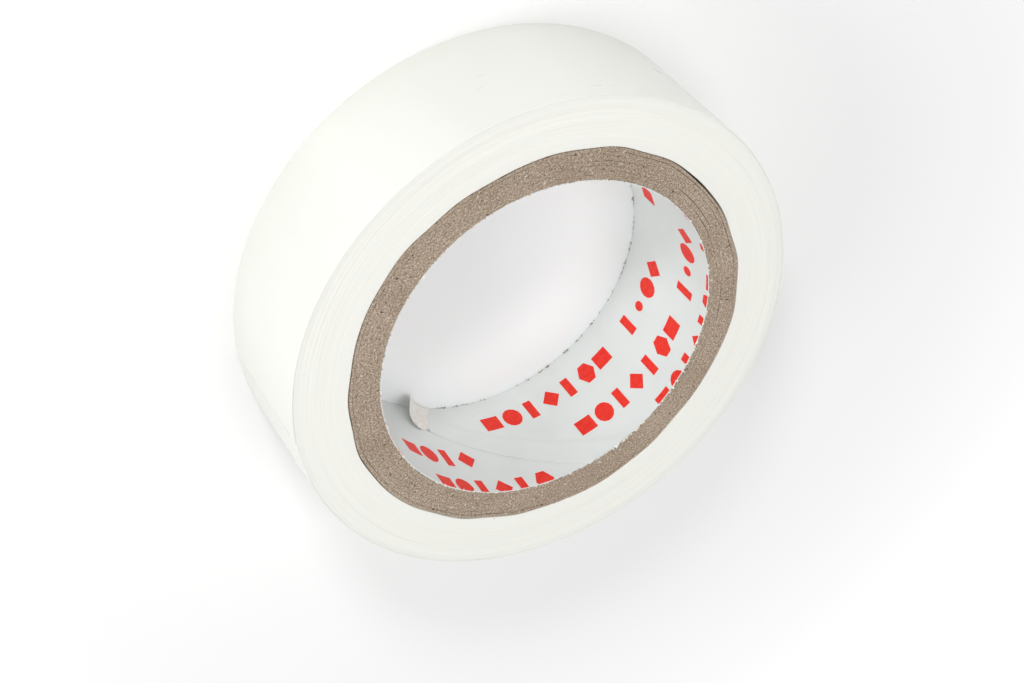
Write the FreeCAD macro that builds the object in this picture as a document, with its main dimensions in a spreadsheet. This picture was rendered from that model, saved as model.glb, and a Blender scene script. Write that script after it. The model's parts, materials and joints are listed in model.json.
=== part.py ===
"""A roll of white PVC electrical tape on a spiral-wound cardboard core, lined with printed paper.

The roll lies on one side face. The origin is the centre of the bore in that face, +Z runs up along
the bore's axis, and +X, +Y complete a right-handed frame. Units are millimetres and degrees.

The core is seven plies of board. Each is one strip wound in a right-handed helix, so it has one
slanted butt seam. The liner is a strip of paper wound the same way, whose edges overlap.
The tape is one strip wound as a spiral. A turn of it is drawn as two half circles, the first centred
a quarter of a tape thickness towards the tape's end, and the second as far away from it.
The last stretch of tape is cut into short segments, so that it can peel off the roll.
"""

import FreeCAD
import Part
import Sketcher
import math
import os

PLIES = 7
END_SEGMENTS = 5

DIMENSIONS = {
    "roll_width": 15.8,
    "core_bore_radius": 19.0,
    "core_wall": 3.5,
    "roll_outer_radius": 28.3,
    # The paper liner is one thickness all round, and two along the overlap.
    "paper_thickness": 0.1,
    "helix_lead": 89.3,
    "overlap_height": 3.35,
    "overlap_start": 4.5,
    "overlap_angle": 10.6,
    # The torn corner of the liner, and how far its fold leans sideways as it rises.
    "corner_angle": 37.0,
    "corner_gap": 0.06,
    "corner_height": 4.4,
    "corner_lean": 2.6,
    "corner_reach": 3.7,
    # The butt seams of the core's plies.
    "seam_gap": 0.15,
    "seam_step": 51.0,
    # The tape: its adhesive is what its film leaves of its thickness.
    "tape_thickness": 0.13,
    "film_thickness": 0.1,
    "tape_end_angle": -26.0,
    "tape_start_angle": 150.0,
    "first_turn_sweep": 357.0,
    "segment_sweep": 10.0,
    # How far a cut runs past what it cuts.
    "overrun": 1.0,
}

doc = FreeCAD.newDocument("tape_roll")
sheet = doc.addObject("Spreadsheet::Sheet", "dims")


def fill_sheet():
    """Writes each driving dimension into its own row, with its alias."""
    for row, (alias, value) in enumerate(DIMENSIONS.items(), start=1):
        sheet.set(f"A{row}", alias)
        sheet.set(f"B{row}", str(value))
        sheet.setAlias(f"B{row}", alias)
    doc.recompute()


def new_body(label, turn="0"):
    """A body that stands turned about +Z by an expression in degrees."""
    body = doc.addObject("PartDesign::Body", label)
    body.Label = label
    up = FreeCAD.Vector(0, 0, 1)
    body.Placement = FreeCAD.Placement(FreeCAD.Vector(), FreeCAD.Rotation(up, 1.0))
    body.setExpression("Placement.Rotation.Angle", turn)
    return body


def new_sketch(body, name, plane="XY_Plane", lift=None):
    """A sketch on one of the body's own origin planes, raised by an expression."""
    support = next(f for f in body.Origin.OriginFeatures if f.Role == plane)
    sketch = body.newObject("Sketcher::SketchObject", name)
    sketch.AttachmentSupport = [(support, "")]
    sketch.MapMode = "FlatFace"
    if lift:
        sketch.setExpression("AttachmentOffset.Base.z", lift)
    return sketch


def drive(sketch, name, expression, *constraint):
    """Adds a named dimension to a sketch and binds it to the sheet."""
    index = sketch.addConstraint(Sketcher.Constraint(*constraint))
    sketch.renameConstraint(index, name)
    sketch.setExpression(f"Constraints.{name}", expression)


def add_circle(sketch, name, radius, expression):
    """A circle about the sketch's origin."""
    up = FreeCAD.Vector(0, 0, 1)
    circle = sketch.addGeometry(Part.Circle(FreeCAD.Vector(), up, radius))
    sketch.addConstraint(Sketcher.Constraint("Coincident", circle, 3, -1, 1))
    drive(sketch, name, expression, "Radius", circle, radius)


def add_rectangle(sketch, near, low, width, height, expressions):
    """An upright rectangle. expressions: its near edge, its lower edge, its width and its height."""
    corners = [(near, low), (near + width, low), (near + width, low + height), (near, low + height)]
    points = [FreeCAD.Vector(x, y, 0) for x, y in corners]
    sides = []
    for start, end in zip(points, points[1:] + points[:1]):
        sides.append(sketch.addGeometry(Part.LineSegment(start, end)))
    for side, following in zip(sides, sides[1:] + sides[:1]):
        sketch.addConstraint(Sketcher.Constraint("Coincident", side, 2, following, 1))
    for side, way in zip(sides, ["Horizontal", "Vertical"] * 2):
        sketch.addConstraint(Sketcher.Constraint(way, side))
    origin, first = (-1, 1), (sides[0], 1)
    drive(sketch, "near", expressions[0], "DistanceX", *origin, *first, near)
    drive(sketch, "low", expressions[1], "DistanceY", *origin, *first, low)
    drive(sketch, "width", expressions[2], "DistanceX", *first, sides[0], 2, width)
    drive(sketch, "height", expressions[3], "DistanceY", *first, sides[2], 2, height)


def pad(body, sketch, name, expression="dims.roll_width"):
    feature = body.newObject("PartDesign::Pad", name)
    feature.Profile = sketch
    feature.setExpression("Length", expression)
    return feature


def pocket(body, sketch, name, expression, upward):
    feature = body.newObject("PartDesign::Pocket", name)
    feature.Profile = sketch
    feature.Reversed = upward
    feature.setExpression("Length", expression)
    return feature


def helix(body, sketch, name, kind, height):
    """Sweeps a sketch up a right-handed helix about the body's own Z axis."""
    feature = body.newObject(kind, name)
    feature.Profile = sketch
    feature.ReferenceAxis = (sketch, ["V_Axis"])
    feature.Mode = "pitch-height-angle"
    feature.setExpression("Pitch", "dims.helix_lead")
    feature.setExpression("Height", height)
    feature.LeftHanded = False
    feature.Reversed = False
    return feature


def add_core_ply(number):
    """One ply of the core, with its slanted butt seam."""
    d = DIMENSIONS
    inner = d["core_bore_radius"] + d["core_wall"] * (number - 1) / PLIES
    wall = d["core_wall"] / PLIES
    inner_is = f"dims.core_bore_radius + dims.core_wall * {number - 1} / {PLIES}"
    outer_is = f"dims.core_bore_radius + dims.core_wall * {number} / {PLIES}"
    body = new_body(f"core_ply_{number}", f"dims.seam_step * {number}")
    ring = new_sketch(body, f"ply_{number}_ring")
    add_circle(ring, "inner", inner, inner_is)
    add_circle(ring, "outer", inner + wall, outer_is)
    pad(body, ring, f"ply_{number}_wall")
    cut = new_sketch(body, f"ply_{number}_seam_section", "XZ_Plane")
    run = d["overrun"]
    places = [f"{inner_is} - dims.overrun / 2", "-dims.overrun",
              f"dims.core_wall / {PLIES} + dims.overrun", "dims.seam_gap"]
    add_rectangle(cut, inner - run / 2, -run, wall + run, d["seam_gap"], places)
    seam_height = "dims.roll_width + 2 * dims.overrun"
    helix(body, cut, f"ply_{number}_seam", "PartDesign::SubtractiveHelix", seam_height)
    return body


def add_liner():
    """The paper liner, with the band where its edges overlap, cut off square at its ends."""
    d = DIMENSIONS
    paper = d["paper_thickness"]
    body = new_body("liner_paper", "dims.overlap_angle")
    ring = new_sketch(body, "liner_ring")
    single_is = "dims.core_bore_radius - dims.paper_thickness"
    add_circle(ring, "inner", d["core_bore_radius"] - paper, single_is)
    add_circle(ring, "outer", d["core_bore_radius"], "dims.core_bore_radius")
    pad(body, ring, "liner_wall")
    band = new_sketch(body, "overlap_section", "XZ_Plane")
    places = [f"{single_is} - dims.paper_thickness", "-dims.overlap_height",
              "1.5 * dims.paper_thickness", "dims.overlap_height"]
    near = d["core_bore_radius"] - 2 * paper
    add_rectangle(band, near, -d["overlap_height"], 1.5 * paper, d["overlap_height"], places)
    band_height = "dims.roll_width + dims.overlap_height"
    helix(body, band, "overlap_band", "PartDesign::AdditiveHelix", band_height)
    above = new_sketch(body, "above_roll", lift="dims.roll_width")
    add_circle(above, "reach", d["core_bore_radius"] + 1, "dims.core_bore_radius + dims.overrun")
    pocket(body, above, "trim_top", "dims.overlap_height + dims.overrun", True)
    below = new_sketch(body, "below_overlap", lift="dims.overlap_start")
    add_circle(below, "reach", d["core_bore_radius"] - paper, single_is)
    pocket(body, below, "trim_start", "dims.overlap_start + 2 * dims.overlap_height", False)
    under = new_sketch(body, "below_roll")
    add_circle(under, "reach", d["core_bore_radius"] + 1, "dims.core_bore_radius + dims.overrun")
    pocket(body, under, "trim_bottom", "dims.overlap_height + dims.overrun", False)
    return body


def add_loose_corner():
    """The liner's loose corner, pressed back to the wall: a leaf on the low side of its slanted fold."""
    d = DIMENSIONS
    body = new_body("liner_loose_corner", "dims.corner_angle")
    leaf = new_sketch(body, "corner_outline", "YZ_Plane")
    lean, height, reach = d["corner_lean"], d["corner_height"], d["corner_reach"]
    outline = [(0, 0), (-reach, 0), (-reach, height / 2), (-lean, height)]
    points = [FreeCAD.Vector(x, y, 0) for x, y in outline]
    sides = []
    for start, end in zip(points, points[1:] + points[:1]):
        sides.append(leaf.addGeometry(Part.LineSegment(start, end)))
    for side, following in zip(sides, sides[1:] + sides[:1]):
        leaf.addConstraint(Sketcher.Constraint("Coincident", side, 2, following, 1))
    leaf.addConstraint(Sketcher.Constraint("Coincident", sides[0], 1, -1, 1))
    leaf.addConstraint(Sketcher.Constraint("Horizontal", sides[0]))
    leaf.addConstraint(Sketcher.Constraint("Vertical", sides[1]))
    drive(leaf, "reach", "dims.corner_reach", "DistanceX", sides[0], 2, sides[0], 1, reach)
    drive(leaf, "half", "dims.corner_height / 2", "DistanceY", sides[1], 1, sides[1], 2, height / 2)
    drive(leaf, "lean", "dims.corner_lean", "DistanceX", sides[3], 1, sides[3], 2, lean)
    drive(leaf, "height", "dims.corner_height", "DistanceY", sides[3], 2, sides[3], 1, height)
    pad(body, leaf, "corner_block", "dims.core_bore_radius")
    outer = d["core_bore_radius"] - d["paper_thickness"] - d["corner_gap"]
    outer_is = "dims.core_bore_radius - dims.paper_thickness - dims.corner_gap"
    inside = new_sketch(body, "corner_inside")
    add_circle(inside, "inner", outer - d["paper_thickness"], f"{outer_is} - dims.paper_thickness")
    pocket(body, inside, "trim_inside", "dims.corner_height + dims.overrun", True)
    outside = new_sketch(body, "corner_outside")
    add_circle(outside, "outer", outer, outer_is)
    add_circle(outside, "reach", d["core_bore_radius"] + 1, "dims.core_bore_radius + dims.overrun")
    pocket(body, outside, "trim_outside", "dims.corner_height + dims.overrun", True)
    return body


def add_first_turn():
    """The first turn of tape on the core, which stops just short of its own start."""
    d = DIMENSIONS
    body = new_body("tape_first_turn", "dims.tape_start_angle")
    core = d["core_bore_radius"] + d["core_wall"]
    core_is = "dims.core_bore_radius + dims.core_wall"
    layer = new_sketch(body, "first_turn_section", "XZ_Plane")
    places = [core_is, "0", "dims.tape_thickness", "dims.roll_width"]
    add_rectangle(layer, core, 0, d["tape_thickness"], d["roll_width"], places)
    turn = body.newObject("PartDesign::Revolution", "first_turn")
    turn.Profile = layer
    turn.ReferenceAxis = (layer, ["V_Axis"])
    turn.setExpression("Angle", "dims.first_turn_sweep")
    return body


def add_half_circle(sketch, name, shift, radius, start, layers):
    """Half a turn of the spiral, centred on the X axis, that many layers under the roll's surface."""
    up = FreeCAD.Vector(0, 0, 1)
    circle = Part.Circle(FreeCAD.Vector(shift, 0, 0), up, radius)
    arc = sketch.addGeometry(Part.ArcOfCircle(circle, start, start + math.pi))
    sketch.addConstraint(Sketcher.Constraint("PointOnObject", arc, 3, -1))
    sketch.addConstraint(Sketcher.Constraint("PointOnObject", arc, 1, -1))
    radius_is = f"dims.roll_outer_radius - {layers} * dims.tape_thickness"
    drive(sketch, name, radius_is, "Radius", arc, radius)
    return arc


def add_tape_pack():
    """The wound tape under the last turn: its surface steps up where the last turn begins."""
    d = DIMENSIONS
    tape, outside = d["tape_thickness"], d["roll_outer_radius"]
    body = new_body("tape_pack", "dims.tape_end_angle")
    ring = new_sketch(body, "pack_section")
    core = d["core_bore_radius"] + d["core_wall"] + tape
    add_circle(ring, "core", core, "dims.core_bore_radius + dims.core_wall + dims.tape_thickness")
    lower = add_half_circle(ring, "lower", tape / 4, outside - 1.25 * tape, math.pi, 1.25)
    upper = add_half_circle(ring, "upper", -tape / 4, outside - 1.75 * tape, 0, 1.75)
    shift_is = "dims.tape_thickness / 4"
    drive(ring, "shift", shift_is, "DistanceX", -1, 1, lower, 3, tape / 4)
    ring.addConstraint(Sketcher.Constraint("PointOnObject", lower, 2, -1))
    ring.addConstraint(Sketcher.Constraint("Coincident", lower, 1, upper, 2))
    step = Part.LineSegment(FreeCAD.Vector(outside - 2 * tape, 0, 0), FreeCAD.Vector(outside - tape, 0, 0))
    line = ring.addGeometry(step)
    ring.addConstraint(Sketcher.Constraint("Coincident", line, 1, upper, 1))
    ring.addConstraint(Sketcher.Constraint("Coincident", line, 2, lower, 2))
    pad(body, ring, "pack_wall")
    return body


def add_half_ring(name, end, sweep, lower, layers, thickness):
    """A stretch of one layer: part of a half ring, that many layers under the roll's surface.

    It is turned about the Z axis through the half ring's own centre. end: an expression for the
    angle in degrees at which the stretch begins, and sweep: one for how far it runs from there.
    """
    d = DIMENSIONS
    body = doc.addObject("PartDesign::Body", name)
    body.Label = name
    shift = d["tape_thickness"] / 4 * (1 if lower else -1)
    turn = math.radians(d["tape_end_angle"])
    up = FreeCAD.Vector(0, 0, 1)
    centre = FreeCAD.Vector(shift * math.cos(turn), shift * math.sin(turn), 0)
    body.Placement = FreeCAD.Placement(centre, FreeCAD.Rotation(up, 1.0))
    sign = "" if lower else "-"
    for axis, wave in (("x", "cos"), ("y", "sin")):
        place = f"{sign}dims.tape_thickness / 4 * {wave}(dims.tape_end_angle * 1 deg)"
        body.setExpression(f"Placement.Base.{axis}", place)
    body.setExpression("Placement.Rotation.Angle", end)
    section = new_sketch(body, f"{name}_section", "XZ_Plane")
    inner_is = f"dims.roll_outer_radius - {layers} * dims.tape_thickness - dims.{thickness}"
    inner = d["roll_outer_radius"] - layers * d["tape_thickness"] - d[thickness]
    places = [inner_is, "0", f"dims.{thickness}", "dims.roll_width"]
    add_rectangle(section, inner, 0, d[thickness], d["roll_width"], places)
    ring = body.newObject("PartDesign::Revolution", f"{name}_film")
    ring.Profile = section
    ring.ReferenceAxis = (section, ["V_Axis"])
    ring.setExpression("Angle", sweep)
    return body


def add_last_turn():
    """The last turn of tape, from where its loose end lies down to a full turn back."""
    loose = f"{END_SEGMENTS} * dims.segment_sweep"
    near = add_half_ring("tape_last_half_turn", "dims.tape_end_angle + 180", f"180 - {loose}",
                         True, 0.25, "tape_thickness")
    far = add_half_ring("tape_last_turn_back", "dims.tape_end_angle", "180",
                        False, 0.75, "tape_thickness")
    return [near, far]


def add_end_segments():
    """The loose end of the tape, from the segment that hangs on the roll to the cut edge."""
    segments = []
    for number in range(1, END_SEGMENTS + 1):
        start = f"dims.tape_end_angle - {END_SEGMENTS - number + 1} * dims.segment_sweep"
        segments.append(add_half_ring(f"tape_end_{number}", start, "dims.segment_sweep",
                                      True, 0.25, "film_thickness"))
    return segments


def check(nodes):
    """Stops at a feature that failed, or at a shape that is missing or broken."""
    for thing in doc.Objects:
        if {"Invalid", "Error"} & set(thing.State):
            raise RuntimeError(f"{thing.Label} is {thing.State}")
    for node in nodes:
        if node.Shape.isNull() or not node.Shape.isValid() or len(node.Shape.Solids) != 1:
            raise RuntimeError(f"{node.Label} has no sound solid")


def export(nodes):
    os.makedirs("parts", exist_ok=True)
    for node in nodes:
        node.Shape.exportStep(f"parts/{node.Label}.step")
        print(f"{node.Label}: {node.Shape.Volume:.2f} mm3")


fill_sheet()
roll = [add_core_ply(number) for number in range(1, PLIES + 1)]
roll += [add_liner(), add_loose_corner(), add_first_turn(), add_tape_pack()]
roll += add_last_turn() + add_end_segments()
doc.recompute()
check(roll)
export(roll)
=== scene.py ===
"""A roll of white electrical tape on a cardboard core lined with printed paper, lying on a pale floor.

Lengths are in millimetres and angles in degrees, measured from +X about +Z, until a mesh is made.
"""

import json
import math

import bpy
import numpy as np
from mathutils import Matrix, Vector


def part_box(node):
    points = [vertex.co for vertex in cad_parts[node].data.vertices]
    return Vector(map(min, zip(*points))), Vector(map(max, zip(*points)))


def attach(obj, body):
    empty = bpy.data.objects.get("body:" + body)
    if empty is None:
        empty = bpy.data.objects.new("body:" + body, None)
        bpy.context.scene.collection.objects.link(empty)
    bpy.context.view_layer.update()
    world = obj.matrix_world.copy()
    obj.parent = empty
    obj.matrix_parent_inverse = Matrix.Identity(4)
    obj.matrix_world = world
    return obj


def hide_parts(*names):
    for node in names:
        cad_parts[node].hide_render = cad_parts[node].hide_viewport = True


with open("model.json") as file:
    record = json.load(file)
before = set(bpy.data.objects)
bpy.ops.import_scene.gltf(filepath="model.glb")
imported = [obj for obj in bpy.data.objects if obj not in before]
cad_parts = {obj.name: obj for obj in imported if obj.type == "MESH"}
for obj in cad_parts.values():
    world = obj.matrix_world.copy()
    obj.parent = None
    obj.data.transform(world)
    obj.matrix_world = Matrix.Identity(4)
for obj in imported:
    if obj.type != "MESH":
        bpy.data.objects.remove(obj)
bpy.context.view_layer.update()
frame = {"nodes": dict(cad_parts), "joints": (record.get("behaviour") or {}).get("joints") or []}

MM = 0.001
SEED = 11


def ring_radius(node):
    """The outer radius of a ring-shaped node about the Z axis, in mm."""
    low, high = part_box(node)
    return (high[1] - low[1]) / 2 / MM


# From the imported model: the roll's width, the core's radii and ply thickness, and the film's thickness.
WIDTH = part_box("tape_pack")[1][2] / MM
PLIES = sorted(name for name in frame["nodes"] if name.startswith("core_ply_"))
ENDS = sorted(name for name in frame["nodes"] if name.startswith("tape_end_"))
CORE = ring_radius(PLIES[-1])
PLY = ring_radius(PLIES[1]) - ring_radius(PLIES[0])
BORE = ring_radius(PLIES[0]) - PLY
TAPE = ring_radius("tape_first_turn") - CORE


def hinge_angle(name):
    """The angle and the radius at which a body's own hinge stands."""
    joint = next(j for j in frame["joints"] if j["child"] == name)
    x, y, _ = joint["pos_m"]
    return math.degrees(math.atan2(y, x)), math.hypot(x, y) / MM


# The stretch that peels: where it starts, the angle of one piece of it, and where the tape ends.
# ROLL is the radius of the spiral's outer end.
FIRST_HINGE, OUTSIDE = hinge_angle(ENDS[0])
STRETCH = hinge_angle(ENDS[1])[0] - FIRST_HINGE
PEEL = STRETCH * len(ENDS)
TAPE_END = FIRST_HINGE + PEEL
ROLL = OUTSIDE + TAPE * PEEL / 360

# What is left open at a hinge line, in degrees, so that the stretches on both sides never touch.
HINGE_GAP = 0.002

# The peeling film's share of a turn's thickness: the rest is the room that its adhesive had.
FILM = 0.77

# The fine steps on the wound tape's side faces, and the ones that stand out or lie low, in mm. They
# stand for the look of the turns' edges, and are more than the roll's 45 or so turns.
SIDE_STEPS = 60
ODD_STEPS = {6: 0.008, 17: -0.012, 18: -0.01, 31: 0.014, 32: 0.008, 44: -0.016, 52: 0.016}

# The liner: its thickness, its seam's angle at the floor and its rise in mm per degree, and how many
# degrees of a second layer lie under the seam.
PAPER = 0.1
SEAM_ANGLE = 10.6
SEAM_RISE = 0.248
OVERLAP = 13.5

# The liner's torn corner: its fold's angles at the floor and at its top, and the height of the top.
FOLD_LOW, FOLD_HIGH, FOLD_TOP = 37.0, 29.0, 4.6

# The studio floor's own glow, close to the roll and far from it, and the radii between which it
# rises, in mm.
GLOW_NEAR, GLOW_FAR = 0.02, 0.3
GLOW_RISE = (55, 140)

# The studio's disk lights: place and target in mm, diameter in mm, power in watts.
LIGHTS = {
    "key": ((-60, -325, 178), (0, 0, 8), 80, 0.46),
    "side": ((300, -170, 185), (0, 0, 5), 200, 0.45),
    "overhead": ((-40, 40, 420), (0, 0, 5), 300, 0.58),
}
SKY = 0.44    # the even light from all around

# The camera: its place in mm, the directions it looks in and holds up, and its lens in mm.
CAMERA_PLACE = (0.0, -145.694, 157.772)
CAMERA_LOOK = (0.014, 0.7069, -0.70718)
CAMERA_UP = (-0.65376, -0.52867, -0.54140)
LENS, SENSOR = 69.93, 36.0

rng = np.random.default_rng(SEED)    # shared by the wound tape and the liner, in that order


def smooth(x):
    """A soft step from 0 to 1."""
    x = np.clip(x, 0, 1)
    return x * x * (3 - 2 * x)


def wobble(angles, waves, size, seed):
    """A smooth closed random curve over angles in degrees, of about that size, from whole waves."""
    own = np.random.default_rng(SEED + seed)
    total = np.zeros_like(angles, float)
    for wave in waves:
        total += own.normal() * np.sin(np.radians(angles) * wave + own.uniform(0, 6.3))
    return total * size / math.sqrt(len(waves))


def round_points(angle, radius, height):
    """Points in mm from cylindrical coordinates."""
    turn = np.radians(angle)
    radius, height = np.broadcast_arrays(radius, height)
    return np.stack(np.broadcast_arrays(radius * np.cos(turn), radius * np.sin(turn), height), -1)


# ---------------------------------------------------------------- meshes

def add_piece(name, points, faces, material, body, stands_for=(), sharp=40):
    """A mesh from points in mm, riding on a body."""
    mesh = bpy.data.meshes.new(name)
    mesh.from_pydata((np.asarray(points).reshape(-1, 3) * MM).tolist(), [], faces)
    mesh.validate()
    mesh.materials.append(material)
    mesh.polygons.foreach_set("use_smooth", [True] * len(mesh.polygons))
    mesh.set_sharp_from_angle(angle=math.radians(sharp))
    piece = bpy.data.objects.new(name, mesh)
    bpy.context.scene.collection.objects.link(piece)
    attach(piece, body)
    if stands_for:
        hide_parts(*stands_for)
    return piece


def loft_faces(count, around, closed):
    """Quads between count sections of around points each, and end caps unless it is closed."""
    faces = []
    for i in range(count if closed else count - 1):
        j = (i + 1) % count
        for k in range(around):
            m = (k + 1) % around
            faces.append((i * around + k, j * around + k, j * around + m, i * around + m))
    if not closed:
        faces.append(tuple(range(around)))
        faces.append(tuple(range((count - 1) * around, count * around))[::-1])
    return faces


def section(across, up, corner=0.04):
    """A ring's section as shares (outwards, upwards): up the outer wall, in over the top, and round.

    Its corners are cut by a share of the wall's thickness, so that they catch the light.
    """
    middle = np.linspace(corner, 1 - corner, across)[1:-1]
    wide = np.concatenate([[0.0, corner], middle, [1 - corner, 1.0]])
    tall = np.linspace(0, 1, up)[1:-1]
    low = [(w, 0.0) for w in wide]
    outer = [(1.0, t) for t in tall]
    high = [(w, 1.0) for w in wide[::-1]]
    inner = [(0.0, t) for t in tall[::-1]]
    return np.array(low + outer + high + inner)


def loft_ring(angles, inner, outer, shape, top, bottom, cut=0.02):
    """Points of a ring. inner, outer: radii at each angle; top, bottom: heights at (angles, shares)."""
    out, rise = shape[:, 0], shape[:, 1]
    radius = inner[:, None] + (outer - inner)[:, None] * out[None, :]
    high, low = top(angles, out), bottom(angles, out)
    corner = ((out == 0) | (out == 1)).astype(float) * cut
    height = np.where(rise == 1, high - corner, np.where(rise == 0, low + corner, 0))
    height = np.where((rise > 0) & (rise < 1), low + (high - low) * rise, height)
    return round_points(angles[:, None], radius, height)


# ---------------------------------------------------------------- materials

class Shader:
    """A material's node tree, built up by short calls."""

    def __init__(self, name):
        self.material = bpy.data.materials.new(name)
        self.material.use_nodes = True
        self.tree = self.material.node_tree
        self.surface = self.tree.nodes["Principled BSDF"]
        self.place = self.add("ShaderNodeTexCoord").outputs["Object"]

    def add(self, kind, inputs=None, **settings):
        node = self.tree.nodes.new(kind)
        for key, value in settings.items():
            setattr(node, key, value)
        for key, value in (inputs or {}).items():
            if isinstance(value, bpy.types.NodeSocket):
                self.tree.links.new(value, node.inputs[key])
            else:
                node.inputs[key].default_value = value
        return node

    def math(self, operation, first, second=0.0):
        return self.add("ShaderNodeMath", {0: first, 1: second}, operation=operation).outputs[0]

    def stretched(self, scale):
        """Object coordinates times a scale for each axis."""
        return self.add("ShaderNodeMapping", {"Vector": self.place, "Scale": scale}).outputs[0]

    def noise(self, scale, detail=3.0, rough=0.5, vector=None):
        inputs = {"Vector": vector or self.place, "Scale": scale, "Detail": detail, "Roughness": rough}
        return self.add("ShaderNodeTexNoise", inputs).outputs["Fac"]

    def ramp(self, value, stops):
        """stops: (place, linear red, green, blue)."""
        node = self.add("ShaderNodeValToRGB", {"Fac": value})
        while len(node.color_ramp.elements) < len(stops):
            node.color_ramp.elements.new(0.5)
        for element, (place, *colour) in zip(node.color_ramp.elements, stops):
            element.position = place
            element.color = (*colour, 1.0)
        return node.outputs["Color"]

    def mix(self, share, first, second, blend="MIX"):
        inputs = {0: share, 6: first, 7: second}
        return self.add("ShaderNodeMix", inputs, data_type="RGBA", blend_type=blend).outputs[2]

    def spread(self, value, start, end, low=0.0, high=1.0):
        """Takes a value from start..end to low..high."""
        inputs = {"Value": value, "From Min": start, "From Max": end, "To Min": low, "To Max": high}
        return self.add("ShaderNodeMapRange", inputs).outputs[0]

    def bump(self, height, distance, strength=1.0, normal=None):
        inputs = {"Height": height, "Distance": distance, "Strength": strength}
        if normal:
            inputs["Normal"] = normal
        return self.add("ShaderNodeBump", inputs).outputs["Normal"]

    def finish(self, colour, roughness, normal=None, **constants):
        sockets = {"Base Color": colour, "Roughness": roughness, "Normal": normal}
        for key, value in sockets.items():
            if isinstance(value, bpy.types.NodeSocket):
                self.tree.links.new(value, self.surface.inputs[key])
            elif value is not None:
                self.surface.inputs[key].default_value = value
        for key, value in constants.items():
            self.surface.inputs[key.replace("_", " ")].default_value = value
        return self.material


def along_turns(shader):
    """Coordinates that draw noise out along the turns: the radius in turns, and slow x and y."""
    split = shader.add("ShaderNodeSeparateXYZ", {0: shader.place})
    x, y = split.outputs["X"], split.outputs["Y"]
    square = shader.math("ADD", shader.math("MULTIPLY", x, x), shader.math("MULTIPLY", y, y))
    turns = shader.math("DIVIDE", shader.math("SQRT", square), TAPE * MM)
    slow_x = shader.math("MULTIPLY", x, 90.0)
    slow_y = shader.math("MULTIPLY", y, 90.0)
    return shader.add("ShaderNodeCombineXYZ", {"X": turns, "Y": slow_x, "Z": slow_y}).outputs[0]


# Light goes a little way into the white film.
SOFT_PLASTIC = {"Subsurface_Weight": 0.12, "Subsurface_Scale": 0.0012,
                "Subsurface_Radius": (1.0, 0.95, 0.85)}


def tape_side_material():
    """The wound tape's side faces: fine concentric lines, a soft satin sheen."""
    shader = Shader("wound_tape_side")
    drawn = along_turns(shader)
    fine = shader.noise(1.0, 1.0, 0.5, drawn)
    broad = shader.noise(0.22, 2.0, 0.6, drawn)
    dust = shader.noise(900.0, 3.0, 0.6)
    tone = shader.math("ADD", shader.math("MULTIPLY", fine, 0.5), shader.math("MULTIPLY", broad, 0.5))
    colour = shader.ramp(tone, [(0.22, 0.79, 0.79, 0.735), (0.42, 0.865, 0.865, 0.81),
                                (0.62, 0.88, 0.88, 0.825), (0.8, 0.90, 0.90, 0.85)])
    lines = shader.bump(fine, 0.00003, 0.22)
    lines = shader.bump(broad, 0.00006, 0.2, lines)
    lines = shader.bump(dust, 0.00001, 0.35, lines)
    return shader.finish(colour, shader.spread(broad, 0, 1, 0.38, 0.6), lines, **SOFT_PLASTIC)


def tape_film_material():
    """The film's outer surface: smooth soft PVC with a faint orange peel and long shallow waves."""
    shader = Shader("tape_film_outside")
    slow = shader.noise(1.0, 2.0, 0.5, shader.stretched((70.0, 70.0, 25.0)))
    peel = shader.noise(650.0, 2.0, 0.5)
    grain = shader.noise(1.0, 3.0, 0.6, shader.stretched((220.0, 220.0, 2600.0)))
    colour = shader.ramp(slow, [(0.3, 0.82, 0.825, 0.765), (0.7, 0.865, 0.87, 0.81)])
    normal = shader.bump(peel, 0.00001, 0.3)
    normal = shader.bump(slow, 0.0004, 0.15, normal)
    normal = shader.bump(grain, 0.00001, 0.25, normal)
    return shader.finish(colour, shader.spread(grain, 0, 1, 0.24, 0.36), normal, **SOFT_PLASTIC)


def board_material():
    """Recycled grey-brown board: mottled pulp, with dark and pale flecks and a fibrous surface."""
    shader = Shader("core_board")
    pulp = shader.noise(5200.0, 4.0, 0.7)
    patch = shader.noise(160.0, 3.0, 0.5)
    fleck = shader.noise(1900.0, 2.0, 0.5)
    fibre = shader.noise(2100.0, 3.0, 0.6)
    base = shader.ramp(pulp, [(0.33, 0.16, 0.118, 0.085), (0.43, 0.375, 0.29, 0.215),
                              (0.54, 0.51, 0.405, 0.315), (0.66, 0.84, 0.72, 0.60)])
    shade = shader.ramp(patch, [(0.3, 0.84, 0.82, 0.80), (0.7, 1.0, 1.0, 1.0)])
    base = shader.mix(1.0, base, shade, "MULTIPLY")
    colour = shader.mix(shader.spread(fleck, 0.66, 0.71), base, (0.66, 0.60, 0.52, 1.0))
    colour = shader.mix(shader.spread(fibre, 0.36, 0.30), colour, (0.06, 0.045, 0.035, 1.0))
    normal = shader.bump(pulp, 0.0002, 0.8)
    normal = shader.bump(fibre, 0.0001, 0.6, normal)
    return shader.finish(colour, 0.92, normal, Specular_IOR_Level=0.2)


def paper_material():
    """The liner: cool white coated paper, faintly mottled, with a soft sheen."""
    shader = Shader("liner_paper_white")
    mottle = shader.noise(240.0, 3.0, 0.5)
    fibre = shader.noise(1.0, 4.0, 0.65, shader.stretched((1800.0, 1800.0, 1100.0)))
    colour = shader.ramp(mottle, [(0.3, 0.745, 0.79, 0.775), (0.7, 0.785, 0.83, 0.815)])
    normal = shader.bump(fibre, 0.00001, 0.35)
    normal = shader.bump(mottle, 0.00008, 0.25, normal)
    return shader.finish(colour, shader.spread(mottle, 0, 1, 0.34, 0.5), normal)


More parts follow.
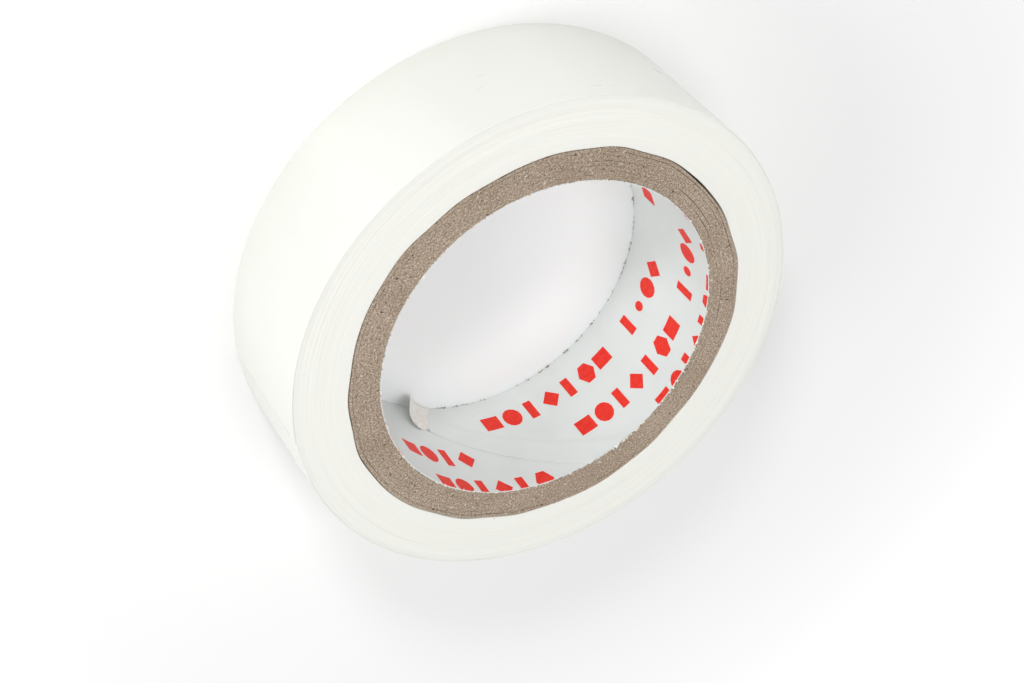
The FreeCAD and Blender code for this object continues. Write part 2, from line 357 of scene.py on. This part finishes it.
def torn_material():
    """Paper where it is torn: bright loose fibres."""
    shader = Shader("torn_paper")
    fibre = shader.noise(2200.0, 4.0, 0.7)
    colour = shader.ramp(fibre, [(0.35, 0.80, 0.79, 0.74), (0.65, 0.95, 0.94, 0.90)])
    return shader.finish(colour, 0.85, shader.bump(fibre, 0.00003, 0.5))


def ink_material():
    """Red printing ink on coated paper, a little uneven."""
    shader = Shader("red_ink")
    uneven = shader.noise(1700.0, 3.0, 0.6)
    colour = shader.ramp(uneven, [(0.3, 0.80, 0.022, 0.012), (0.65, 0.90, 0.04, 0.022)])
    return shader.finish(colour, 0.5, shader.bump(uneven, 0.00001, 0.3), Specular_IOR_Level=0.25)


def floor_material():
    """A white studio floor that glows more away from the roll.

    Inside the bore its colour is painted a little cooler and lighter: a painted counter-tint against the
    pink light that the red marks throw there, and painted light that lifts the shade in the bore.
    """
    shader = Shader("studio_floor")
    cloud = shader.noise(3.0, 2.0, 0.5)
    white = shader.ramp(cloud, [(0.4, 0.94, 0.94, 0.94), (0.6, 0.95, 0.95, 0.95)])
    away = shader.add("ShaderNodeVectorMath", {0: shader.place}, operation="LENGTH").outputs["Value"]
    outside = shader.spread(away, 0.019, 0.021)
    # Painted light: inside the bore the floor's colour is painted cooler and lighter, against the marks'
    # pink bounce light and the bore's shade.
    colour = shader.mix(outside, (0.935, 0.973, 0.978, 1.0), white)
    rise = {"Value": away, "From Min": GLOW_RISE[0] * MM, "From Max": GLOW_RISE[1] * MM,
            "To Min": GLOW_NEAR, "To Max": GLOW_FAR}
    glow = shader.add("ShaderNodeMapRange", rise, interpolation_type="SMOOTHSTEP").outputs[0]
    shader.tree.links.new(glow, shader.surface.inputs["Emission Strength"])
    return shader.finish(colour, 0.9, Specular_IOR_Level=0.0, Emission_Color=(1.0, 1.0, 1.0, 1.0))


# ---------------------------------------------------------------- the tape

def film_radius(back):
    """The outer radius of the outermost layer, that many degrees back from the tape's end."""
    return ROLL - TAPE * back / 360


def core_edge(angles):
    """Where the tape meets the core, which isn't quite round."""
    return CORE + wobble(angles, (2, 3, 5, 7, 8, 11), 0.16, 1) + wobble(angles, (17, 23), 0.045, 2)


def add_wound_tape(side):
    """The wound turns, with fine steps on the side faces, each a little higher or lower."""
    angles = np.linspace(TAPE_END + 0.02, TAPE_END + 359.98, 400)
    back = (TAPE_END - angles) % 360
    shape = section(90, 12, 0.004)
    steps = rng.normal(0, 0.0028, SIDE_STEPS)
    steps[list(ODD_STEPS)] += list(ODD_STEPS.values())
    drift = [wobble(angles, (1, 2, 3), 0.012, 40 + k) for k in range(6)]

    def edge(angles, out, sign, base):
        place = np.clip(out * SIDE_STEPS, 0, SIDE_STEPS - 1.001)
        low = place.astype(int)
        height = steps[low] * (1 - (place - low)) + steps[low + 1] * (place - low)
        groove = 0.0025 * (np.arange(len(out)) % 2)
        layer = np.clip((out * 5).astype(int), 0, 5)
        slow = np.stack([drift[k] for k in layer], 1)
        fade = smooth((1 - out) * 12)
        return base + sign * ((height - groove) * fade - 0.02 + slow * fade[None, :])

    points = loft_ring(angles, core_edge(angles), film_radius(back) - TAPE - 0.004, shape,
                       lambda a, o: edge(a, o, 1, WIDTH), lambda a, o: edge(a, o, -1, 0.0))
    points[..., 2] = np.clip(points[..., 2], 0, None)
    faces = loft_faces(len(angles), len(shape), True)
    return add_piece("wound_tape", points, faces, side, "roll",
                     ("tape_first_turn", "tape_pack"), 60)


def film_stretch(back, thick, end_shift=None):
    """One stretch of film, back being its degrees from the tape's end, and thick its thickness.

    end_shift turns its end by some degrees at each share of the width.
    """
    shape = section(2, 60, 0.2)
    outer = film_radius(back)
    angles = TAPE_END - back
    wave = wobble(angles, (5, 9, 14), 0.012, 7)

    def top(a, o):
        return WIDTH - 0.01 + np.repeat(wave[:, None], len(o), 1)

    def bottom(a, o):
        return np.full((len(a), len(o)), 0.0)

    points = loft_ring(angles, outer - thick, outer, shape, top, bottom, 0.012)
    if end_shift is not None:
        share = np.linspace(0, 1, len(back)) ** 3
        turn = np.radians(share[:, None] * end_shift(shape[:, 1])[None, :])
        x, y = points[..., 0].copy(), points[..., 1].copy()
        points[..., 0] = x * np.cos(turn) - y * np.sin(turn)
        points[..., 1] = x * np.sin(turn) + y * np.cos(turn)
    return points, loft_faces(len(back), len(shape), False)


def add_last_turn(film):
    """The last turn, from the first hinge line back to just under the tape's end."""
    points, faces = film_stretch(np.linspace(PEEL, 359.99, 320), TAPE)
    return add_piece("tape_last_turn", points, faces, film, "roll",
                     ("tape_last_half_turn", "tape_last_turn_back"))


def cut_teeth(share):
    """How far the cut edge is drawn back at a share of the width, in degrees: small even teeth."""
    teeth = np.abs((share * 26) % 1 - 0.5) * 2
    return -0.42 * teeth - 0.25 * np.sin(share * 5.0 + 0.6) ** 2


def add_tape_end(film):
    """The stretch that peels off, one piece for each of its bodies, and its toothed cut edge."""
    for number, name in enumerate(ENDS):
        far = PEEL - STRETCH * number
        back = np.linspace(far - HINGE_GAP, far - STRETCH + HINGE_GAP, 14)
        last = number == len(ENDS) - 1
        points, faces = film_stretch(back, FILM * TAPE, cut_teeth if last else None)
        add_piece(f"tape_peel_{number + 1}", points, faces, film, name, (name,))


# ---------------------------------------------------------------- the core

def ply_gap(number, angles):
    """The gap outside a ply: some open on one side, a dark line inside the last, and the tape's rim."""
    if number == len(PLIES) - 2:
        return 0.02 + 0.04 * smooth(wobble(angles, (3, 8, 13), 1.0, 90) + 0.5)
    open_side = smooth(np.cos(np.radians(angles - 175)) * 1.2)
    gap = 0.008 + 0.05 * open_side * smooth(wobble(angles, (3, 4, 7, 9), 1.0, 60 + number) - 0.2)
    if number == len(PLIES) - 1:
        gap += 0.09 + 0.06 * smooth(wobble(angles, (2, 5, 6), 1.0, 80) + 0.4)
    return gap


def add_ply(board, number, name, angles, shape):
    """One ply of the core, with an uneven, fuzzy cut end."""
    wall = core_edge(angles) - BORE
    inner = BORE + 0.01 + wall * number / len(PLIES) + (0 if number else 0.01)
    outer = BORE + wall * (number + 1) / len(PLIES) - ply_gap(number, angles)
    fuzz = np.random.default_rng(SEED + 200 + number).normal(0, 0.009, (len(angles), len(shape)))
    level = wobble(angles, (2, 3, 5, 8), 0.012, 120 + number) - 0.04
    points = loft_ring(angles, inner, outer, shape,
                       lambda a, o: WIDTH + level[:, None] + fuzz,
                       lambda a, o: np.abs(fuzz) + 0.02, 0.0)
    faces = loft_faces(len(angles), len(shape), True)
    add_piece(f"board_{number + 1}", points, faces, board, "roll", (name,), 80)


def add_core(board):
    """The core's plies."""
    angles = np.linspace(0, 360, 720, endpoint=False)
    shape = section(6, 10, 0.12)
    for number, name in enumerate(PLIES):
        add_ply(board, number, name, angles, shape)


# ---------------------------------------------------------------- the liner

def seam_angle(height):
    """The angle of the liner's visible seam at a height."""
    return SEAM_ANGLE + height / SEAM_RISE


def fold_angle(height):
    """The angle of the loose corner's fold at a height."""
    return FOLD_LOW + (FOLD_HIGH - FOLD_LOW) * height / FOLD_TOP


def liner_radius(angle, height):
    """The radius of the liner's printed face on the visible side of its seam."""
    past = angle - seam_angle(height)
    lift = PAPER * (1 - smooth((past - OVERLAP) / 5))
    return BORE - PAPER - np.where(past > -0.01, lift, 0.0)


def add_liner(paper):
    """One strip of paper, from its visible seam round to its hidden edge under that seam."""
    share = np.linspace(0, 1, 560)
    height = np.linspace(0.02, WIDTH - 0.03, 48)
    fold = np.where(height < FOLD_TOP, fold_angle(height), -1)
    start = np.maximum(seam_angle(height), fold)
    stop = 360 + np.maximum(seam_angle(height) + OVERLAP, fold + 1)
    angle = start + (stop - start) * share[:, None]
    past = angle - seam_angle(height)
    lift = np.where(past < 180, PAPER * (1 - smooth((past - OVERLAP) / 5)), 0)
    face = BORE - PAPER - lift + wobble(angle, (6, 11, 17), 0.004, 150)
    face = np.minimum(face, BORE - 0.9 * PAPER - lift)
    rough = np.zeros_like(angle)
    rough[:, -1] = rng.normal(0, 0.03, len(share))
    tall = height[None, :] + rough
    front = round_points(angle, face, tall)
    rear = round_points(angle, face + 0.85 * PAPER, tall)
    points = np.concatenate([front, rear[:, ::-1]], 1)
    faces = loft_faces(len(share), points.shape[1], False)
    return add_piece("liner_sheet", points, faces, paper, "roll", ("liner_paper",), 50)


def add_loose_corner(torn):
    """The torn corner: it leaves the wall at its fold and curls towards the bore, ragged at its tip."""
    along = np.linspace(0, 1, 30)
    out = np.linspace(0, 1, 22)
    height = along * (FOLD_TOP - 0.05) + 0.03
    spikes = np.abs(np.random.default_rng(SEED + 5).normal(0, 0.34, len(along)))
    length = 0.25 + 3.35 * np.sqrt(np.clip(1 - along ** 2 * 0.99, 0, 1)) + spikes * (1 - 0.7 * along)
    reach = out[:, None] * length[None, :]
    bend = np.radians(3 + 10.5 * reach) * (1 - 0.6 * along)
    step = np.diff(reach, axis=0, prepend=0)
    across = np.cumsum(np.cos(bend) * step, axis=0)
    inward = np.cumsum(np.sin(bend) * step, axis=0)
    base = BORE - 1.9 * PAPER
    radius = base - inward
    angle = fold_angle(height)[None, :] - np.degrees(across / base)
    tall = height[None, :] + 0.10 * reach
    front = round_points(angle, radius, tall)
    rear = round_points(angle, radius + 0.07, tall)
    points = np.concatenate([front, rear[:, ::-1]], 1)
    faces = loft_faces(len(out), points.shape[1], False)
    return add_piece("liner_corner", points, faces, torn, "roll",
                     ("liner_loose_corner",), 70)


def add_slivers(name, material, places, length, width, lean, seed, base=WIDTH - 0.12):
    """Loose fibres: thin bent blades that stand up from a base height at (angle, radius) places.

    length, width and lean are the lowest and highest value that a blade may have.
    """
    own = np.random.default_rng(SEED + seed)
    points, faces = [], []
    for angle, radius in places:
        foot = round_points(angle, radius, base)
        way = round_points(angle + own.normal(0, 40), 1.0, 0.0)
        side = np.cross(way, (0, 0, 1))
        tall, wide = own.uniform(*length), own.uniform(*width)
        tip = own.uniform(*lean)
        start = len(points)
        for share in (0, 0.35, 0.7, 1):
            centre = foot + way * tip * share ** 2 + np.array((0, 0, tall * share))
            half = side * wide * (1 - 0.8 * share) / 2
            thick = way * 0.02
            points += [centre - half, centre + half, centre + half + thick, centre - half + thick]
        for k in range(3):
            for m in range(4):
                a, b = start + 4 * k + m, start + 4 * k + (m + 1) % 4
                faces.append((a, b, b + 4, a + 4))
        faces.append((start + 3, start + 2, start + 1, start))
        faces.append((start + 12, start + 13, start + 14, start + 15))
    return add_piece(name, points, faces, material, "roll")


def add_fibres(board, torn):
    """Torn paper and board fibres on the core's near edge, and a few on its far edge."""
    own = np.random.default_rng(SEED + 300)
    fringe = [(own.uniform(74, 91), BORE - own.uniform(0.02, 0.12)) for _ in range(34)]
    add_slivers("torn_fringe", torn, fringe, (0.16, 0.38), (0.2, 0.6), (-0.25, 0.12), 301)
    edge = [(own.uniform(0, 360), BORE - own.uniform(0.0, 0.1)) for _ in range(260)]
    add_slivers("torn_edge", torn, edge, (0.14, 0.34), (0.1, 0.5), (-0.15, 0.1), 304)
    rim = [(own.uniform(0, 360), BORE + own.uniform(0.0, 0.1)) for _ in range(220)]
    add_slivers("board_fibres", board, rim, (0.1, 0.24), (0.06, 0.3), (-0.2, 0.05), 302)
    far = [(own.uniform(40, 352), BORE - PAPER - own.uniform(0.0, 0.03)) for _ in range(150)]
    add_slivers("far_edge_fibres", board, far, (0.06, 0.22), (0.1, 0.7), (-0.08, 0.0), 305, 0.01)
    loose = [(own.uniform(0, 360), own.uniform(BORE, CORE)) for _ in range(170)]
    add_slivers("board_fluff", board, loose, (0.12, 0.22), (0.04, 0.16), (-0.1, 0.1), 303)


# ---------------------------------------------------------------- the printed marks

# Plain shapes in a box of width and height 1, each a convex outline.
ROUND = [(0.45 + 0.45 * math.cos(k * math.pi / 7), 0.5 + 0.5 * math.sin(k * math.pi / 7))
         for k in range(14)]
SHAPES = {
    "disc": ROUND,
    "dot": [(0.45 + (x - 0.45) * 0.5, 0.5 + (y - 0.5) * 0.5) for x, y in ROUND],
    "lozenge": [(0.0, 0.5), (0.45, 0.0), (0.9, 0.5), (0.45, 1.0)],
    "block": [(0.0, 0.12), (0.85, 0.12), (0.85, 0.88), (0.0, 0.88)],
    "hexagon": [(0.0, 0.5), (0.25, 0.0), (0.65, 0.0), (0.9, 0.5), (0.65, 1.0), (0.25, 1.0)],
    "tall_bar": [(0.2, 0.0), (0.6, 0.0), (0.6, 1.0), (0.2, 1.0)],
}
PATTERN = ("block", "disc", "tall_bar", "lozenge", "tall_bar", "hexagon", "block", None,
           "tall_bar", "dot", "disc", "lozenge")

# Rows of groups of marks: where they start and how far each row is shifted, a group's length and the
# gap after it, in degrees; the rows' heights and the marks' height, in mm.
FIRST_ROW, ROW_SHIFT = 52.0, 26.0
GROUP, GROUP_GAP = 90.0, 22.0
ROW_HEIGHTS = (4.3, 10.8, 16.0)
MARK_HEIGHT = 2.9

# How far a mark stands proud of the paper and reaches into it, in mm, and the widest strip of a mark
# that is left flat, in degrees.
INK_TOP, INK_ROOT = 0.03, -0.02
STRIP = 1.2

# Two groups on the strip past its full turn, up to its seam: angle and height.
LAST_GROUPS = ((371, 9.6), (377, 15.0))


def clip(outline, axis, limit, keep_low):
    """The part of a convex outline on one side of a line."""
    kept = []
    for a, b in zip(outline, outline[1:] + outline[:1]):
        inside_a = (a[axis] <= limit) == keep_low
        inside_b = (b[axis] <= limit) == keep_low
        if inside_a:
            kept.append(a)
        if inside_a != inside_b:
            share = (limit - a[axis]) / (b[axis] - a[axis])
            kept.append(tuple(p + (q - p) * share for p, q in zip(a, b)))
    return kept


def add_mark(points, faces, outline):
    """Wraps a convex outline of (degrees, mm) round the liner in strips, as a thin solid."""
    low = min(p[0] for p in outline)
    high = max(p[0] for p in outline)
    count = max(1, int((high - low) / STRIP))
    for k in range(count):
        left = low + (high - low) * k / count
        right = low + (high - low) * (k + 1) / count
        strip = clip(clip(outline, 0, right, True), 0, left, False)
        if len(strip) < 3:
            continue
        start, size = len(points), len(strip)
        for proud in (INK_TOP, INK_ROOT):
            for angle, height in strip:
                radius = liner_radius(angle, height) - proud
                points.append(round_points(angle, radius, height))
        faces.append(tuple(range(start, start + size)))
        faces.append(tuple(range(start + 2 * size - 1, start + size - 1, -1)))
        for m in range(size):
            n = (m + 1) % size
            faces.append((start + m, start + size + m, start + size + n, start + n))


def add_group(points, faces, first, height, visible):
    """One group of marks along the liner, from an angle and a height, on the strip where it shows."""
    step = GROUP / len(PATTERN)
    for number, shape in enumerate(PATTERN):
        if shape is None:
            continue
        place = first + step * number
        outline = []
        for x, y in SHAPES[shape]:
            angle = place + x * step * 0.95
            outline.append((angle, height + (y - 0.5) * MARK_HEIGHT + (angle - first) * 0.01))
        outline = clip(outline, 1, WIDTH - 0.08, True)
        outline = clip(outline, 1, 0.06, False) if outline else []
        if len(outline) < 3 or not all(visible(a, h) for a, h in outline):
            continue
        add_mark(points, faces, outline)


def add_marks(ink):
    """Rows of marks round the strip: each row stands further along it than the one below."""
    points, faces = [], []

    def shows(angle, height, limit):
        """Whether a point is on the visible side of the strip, off the fold, and below an angle."""
        if height < FOLD_TOP and angle < fold_angle(height) + 1:
            return False
        return seam_angle(height) + 1 < angle < min(limit, seam_angle(height) + 358)

    for row, height in enumerate(ROW_HEIGHTS):
        for group in range(3):
            first = FIRST_ROW + ROW_SHIFT * row + (GROUP + GROUP_GAP) * group
            add_group(points, faces, first, height, lambda a, h: shows(a, h, 362))
    for first, height in LAST_GROUPS:
        add_group(points, faces, first, height, lambda a, h: shows(a, h, 460))
    return add_piece("liner_marks", points, faces, ink, "roll", sharp=30)


# ---------------------------------------------------------------- the studio

def add_floor():
    mesh = bpy.data.meshes.new("floor")
    half = 3.0
    corners = [(-half, -half, 0), (half, -half, 0), (half, half, 0), (-half, half, 0)]
    mesh.from_pydata(corners, [], [(0, 1, 2, 3)])
    mesh.materials.append(floor_material())
    floor = bpy.data.objects.new("floor", mesh)
    bpy.context.scene.collection.objects.link(floor)


def aim(thing, place, look, up):
    """Puts a camera or light at a place in mm, looking along a direction."""
    back = -Vector(look).normalized()
    right = Vector(up).cross(back).normalized()
    upright = back.cross(right)
    turn = Matrix((right, upright, back)).transposed().to_4x4()
    thing.matrix_world = Matrix.Translation(Vector(place) * MM) @ turn


def add_light(name, place, target, size, power):
    data = bpy.data.lights.new(name, "AREA")
    data.shape = "DISK"
    data.size = size * MM
    data.energy = power
    light = bpy.data.objects.new(name, data)
    bpy.context.scene.collection.objects.link(light)
    aim(light, place, Vector(target) - Vector(place), (0.3, 0.2, 1))


def add_sky():
    world = bpy.data.worlds.new("studio")
    world.use_nodes = True
    sky = world.node_tree.nodes["Background"].inputs
    sky["Color"].default_value = (1.0, 1.0, 1.0, 1.0)
    sky["Strength"].default_value = SKY
    bpy.context.scene.world = world


def add_camera():
    data = bpy.data.cameras.new("camera")
    data.lens = LENS
    data.sensor_width = SENSOR
    data.clip_start = 0.01
    camera = bpy.data.objects.new("camera", data)
    bpy.context.scene.collection.objects.link(camera)
    aim(camera, CAMERA_PLACE, CAMERA_LOOK, CAMERA_UP)
    bpy.context.scene.camera = camera


def add_studio():
    bpy.context.scene.view_settings.view_transform = "Standard"
    add_sky()
    for name, settings in LIGHTS.items():
        add_light(name, *settings)
    add_camera()


side, film, board = tape_side_material(), tape_film_material(), board_material()
paper, torn, ink = paper_material(), torn_material(), ink_material()
add_wound_tape(side)
add_last_turn(film)
add_tape_end(film)
add_core(board)
add_liner(paper)
add_loose_corner(torn)
add_fibres(board, torn)
add_marks(ink)
add_floor()
add_studio()
